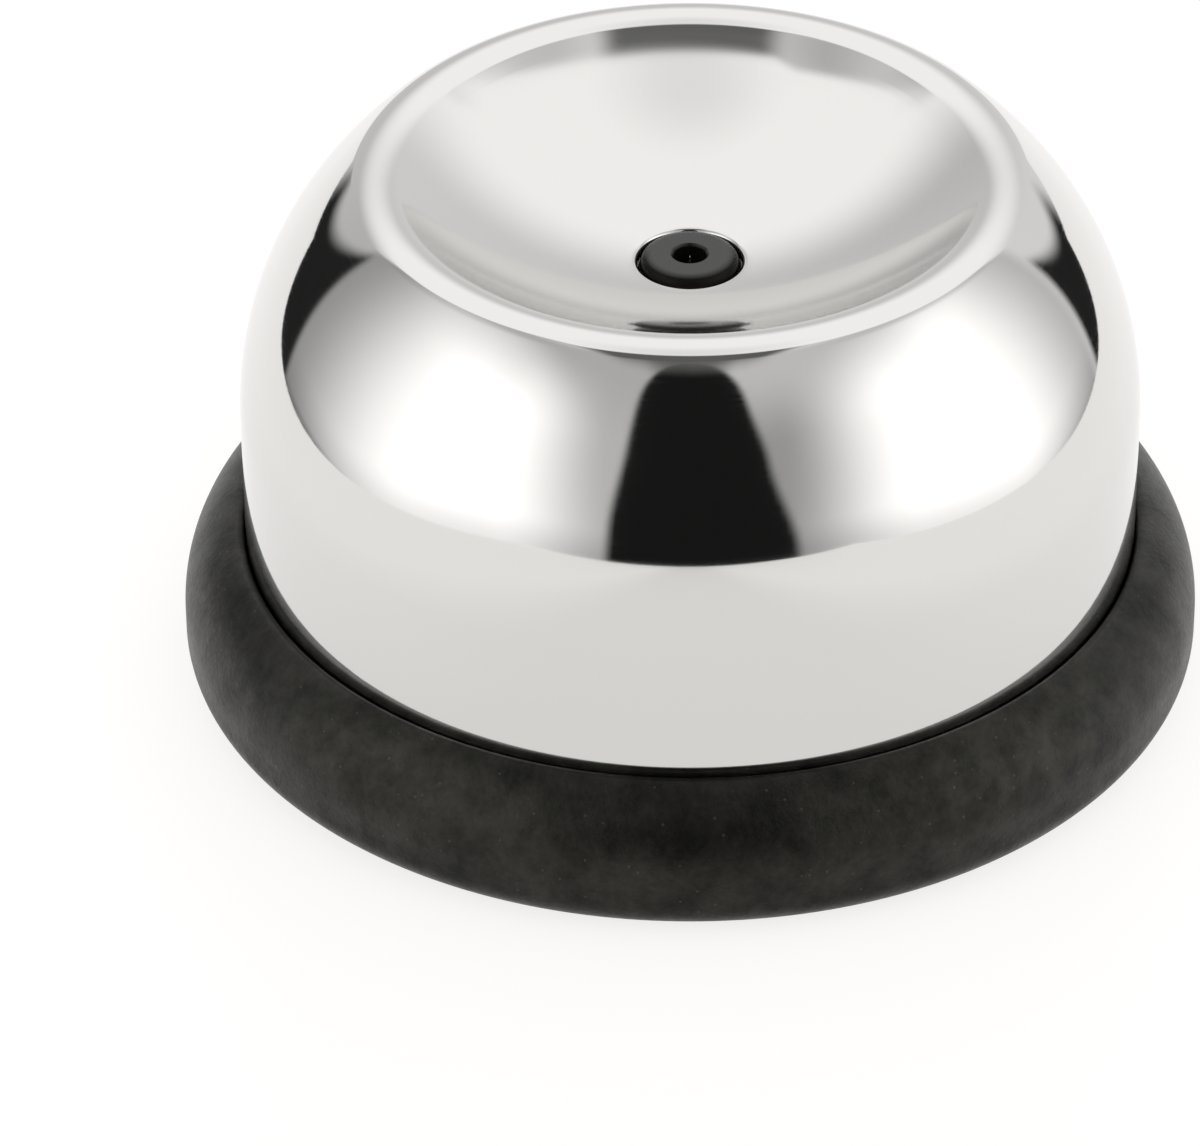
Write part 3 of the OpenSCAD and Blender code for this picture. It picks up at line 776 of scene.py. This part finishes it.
def white_paper(stage):
    """White paper that keeps the shadow: it reflects light, and for what sees it three quarters of it glow
    white, a little more beside the piercer than under it."""
    glow_share = 0.75
    under_x, beside_x = 20 * MM, 65 * MM
    material, tree = bare_material("white_floor")
    ray = add_node(tree, "ShaderNodeLightPath")
    seen = add_node(tree, "ShaderNodeMath",
                    {0: ray.outputs["Is Camera Ray"], 1: ray.outputs["Is Glossy Ray"]}, operation="ADD")
    seen = add_node(tree, "ShaderNodeMath", {0: seen.outputs[0], 1: ray.outputs["Is Transmission Ray"]},
                    operation="ADD", use_clamp=True)
    share = add_node(tree, "ShaderNodeMath", {0: seen.outputs[0], 1: glow_share},
                     operation="MULTIPLY").outputs[0]
    paper = add_node(tree, "ShaderNodeBsdfDiffuse", {"Color": stage.floor}).outputs[0]
    place = add_node(tree, "ShaderNodeTexCoord").outputs["Object"]
    x = add_node(tree, "ShaderNodeSeparateXYZ", {0: place}).outputs["X"]
    beside = add_node(tree, "ShaderNodeMath", {0: x}, operation="ABSOLUTE").outputs[0]
    level = add_node(tree, "ShaderNodeMapRange", {"Value": beside, "From Min": under_x, "From Max": beside_x,
                                                  "To Min": 1.08, "To Max": 1.24},
                     interpolation_type="SMOOTHSTEP").outputs[0]
    glow = add_node(tree, "ShaderNodeEmission", {"Color": stage.glow, "Strength": level}).outputs[0]
    mixed = add_node(tree, "ShaderNodeMixShader", {0: share, 1: paper, 2: glow}).outputs[0]
    add_node(tree, "ShaderNodeOutputMaterial", {"Surface": mixed})
    return material


class EGG_PIERCER_OT_stage(bpy.types.Operator):
    """Makes the floor, the light tent, the world and the camera"""
    bl_idname = "egg_piercer.stage"
    bl_label = "Stage"

    def execute(self, context):
        scene = context.scene
        scene.view_settings.view_transform = "Standard"
        # the seat mirrors itself many times over near its edge
        scene.cycles.max_bounces = 16
        scene.cycles.glossy_bounces = 14
        self.tent(scene.piercer_stage)
        self.floor(scene.piercer_stage)
        self.world(scene)
        self.camera(scene)
        return {"FINISHED"}

    def tent(self, stage):
        """Sphere round the floor, open below and in a pinhole at the top: each point lies at the tent's
        radius by its bearing and height, and holds its brightness as an attribute."""
        bearings = np.linspace(-180, 180, 360, endpoint=False)
        heights = np.linspace(-25, 89.75, 230)
        az, el = np.meshgrid(bearings, heights)
        a, e = np.radians(az), np.radians(el)
        points = stage.tent_r * np.stack([np.cos(e) * np.sin(a), -np.cos(e) * np.cos(a), np.sin(e)], axis=2)
        tent = new_object("light_tent", points.reshape(-1, 3), grid_quads(*az.shape), tent_cloth())
        level = tent.data.attributes.new("level", "FLOAT", "POINT")
        level.data.foreach_set("value", tent_light(az, el).reshape(-1).astype(np.float32))
        tent.visible_camera = False
        tent.visible_shadow = False

    def floor(self, stage):
        """White floor, narrow beside the dome and wider to the front and the back, as between two standing
        panels. Half of its width is the waist, plus a slope times the way in front of front_y and another
        times the way behind back_y. Each way is rounded off at its start: it is the mean of the distance d
        and the hypotenuse of d and the bend."""
        reach, fine_reach = 1.5 * stage.tent_r, 300 * MM
        front_y, front_slope = 20 * MM, 0.55
        back_y, back_slope = 70 * MM, 0.78
        bend, below_foot = 30 * MM, 0.02 * MM
        y = np.concatenate([[-reach], np.linspace(-fine_reach, fine_reach, 61), [reach]])
        ahead, past = front_y - y, y - back_y
        wider = front_slope * (ahead + np.hypot(ahead, bend)) + back_slope * (past + np.hypot(past, bend))
        half = stage.floor_waist + wider / 2
        z = np.full(len(y), -below_foot)
        points = np.concatenate([np.stack([x, y, z], axis=1) for x in (-half, half)])
        floor = new_object("white_floor", points, grid_quads(2, len(y), wrap=False), white_paper(stage))

    def world(self, scene):
        """Even white surroundings."""
        world = bpy.data.worlds.new("white_room")
        world.use_nodes = True
        world.node_tree.nodes["Background"].inputs["Color"].default_value = (1, 1, 1, 1)
        world.node_tree.nodes["Background"].inputs["Strength"].default_value = 1
        scene.world = world

    def camera(self, scene):
        """Camera at its distance and elevation from the dome's middle, aimed beside it and rolled."""
        stage = scene.piercer_stage
        e = stage.elevation
        middle = Vector((0, 0, stage.middle_z))
        across, up = Vector((1, 0, 0)), Vector((0, math.sin(e), math.cos(e)))
        place = middle + stage.distance * Vector((0, -math.cos(e), math.sin(e)))
        aim = middle - stage.aim_left * across - stage.aim_down * up
        ahead = (aim - place).normalized()
        right = ahead.cross(Vector((0, 0, 1))).normalized()
        above = right.cross(ahead)
        c, s = math.cos(stage.roll), math.sin(stage.roll)
        right, above = right * c - above * s, above * c + right * s
        data = bpy.data.cameras.new("camera")
        data.sensor_fit = "HORIZONTAL"
        data.sensor_width = 36
        data.lens = stage.lens
        data.clip_start = 0.01
        camera = bpy.data.objects.new("camera", data)
        turn = Matrix((right, above, -ahead)).transposed().to_4x4()
        camera.matrix_world = Matrix.Translation(place) @ turn
        scene.collection.objects.link(camera)
        scene.camera = camera


class EGG_PIERCER_PT_panel(bpy.types.Panel):
    """Lists the pieces and their settings"""
    bl_label = "Egg piercer"
    bl_idname = "EGG_PIERCER_PT_panel"
    bl_space_type = "VIEW_3D"
    bl_region_type = "UI"
    bl_category = "Egg piercer"

    def draw(self, context):
        scene = context.scene
        for step in STEPS:
            self.layout.operator(step.bl_idname)
        for group in (scene.piercer_sizes, scene.piercer_finishes, scene.piercer_stage):
            box = self.layout.box()
            for key in group.bl_rna.properties.keys():
                if key not in ("rna_type", "name"):
                    box.prop(group, key)


STEPS = (EGG_PIERCER_OT_stage, EGG_PIERCER_OT_dome, EGG_PIERCER_OT_foot, EGG_PIERCER_OT_button,
         EGG_PIERCER_OT_needle, EGG_PIERCER_OT_spring, EGG_PIERCER_OT_base)
GROUPS = (PiercerSizes, PiercerFinishes, PiercerStage)
CLASSES = GROUPS + STEPS + (EGG_PIERCER_PT_panel,)


def register():
    for cls in CLASSES:
        bpy.utils.register_class(cls)
    bpy.types.Scene.piercer_sizes = bpy.props.PointerProperty(type=PiercerSizes)
    bpy.types.Scene.piercer_finishes = bpy.props.PointerProperty(type=PiercerFinishes)
    bpy.types.Scene.piercer_stage = bpy.props.PointerProperty(type=PiercerStage)


def unregister():
    del bpy.types.Scene.piercer_stage
    del bpy.types.Scene.piercer_finishes
    del bpy.types.Scene.piercer_sizes
    for cls in reversed(CLASSES):
        bpy.utils.unregister_class(cls)


def main():
    register()
    bpy.ops.egg_piercer.stage()
    bpy.ops.egg_piercer.dome()
    bpy.ops.egg_piercer.foot()
    bpy.ops.egg_piercer.button()
    bpy.ops.egg_piercer.needle()
    bpy.ops.egg_piercer.spring()
    bpy.ops.egg_piercer.base()


if __name__ == "__main__":
    main()
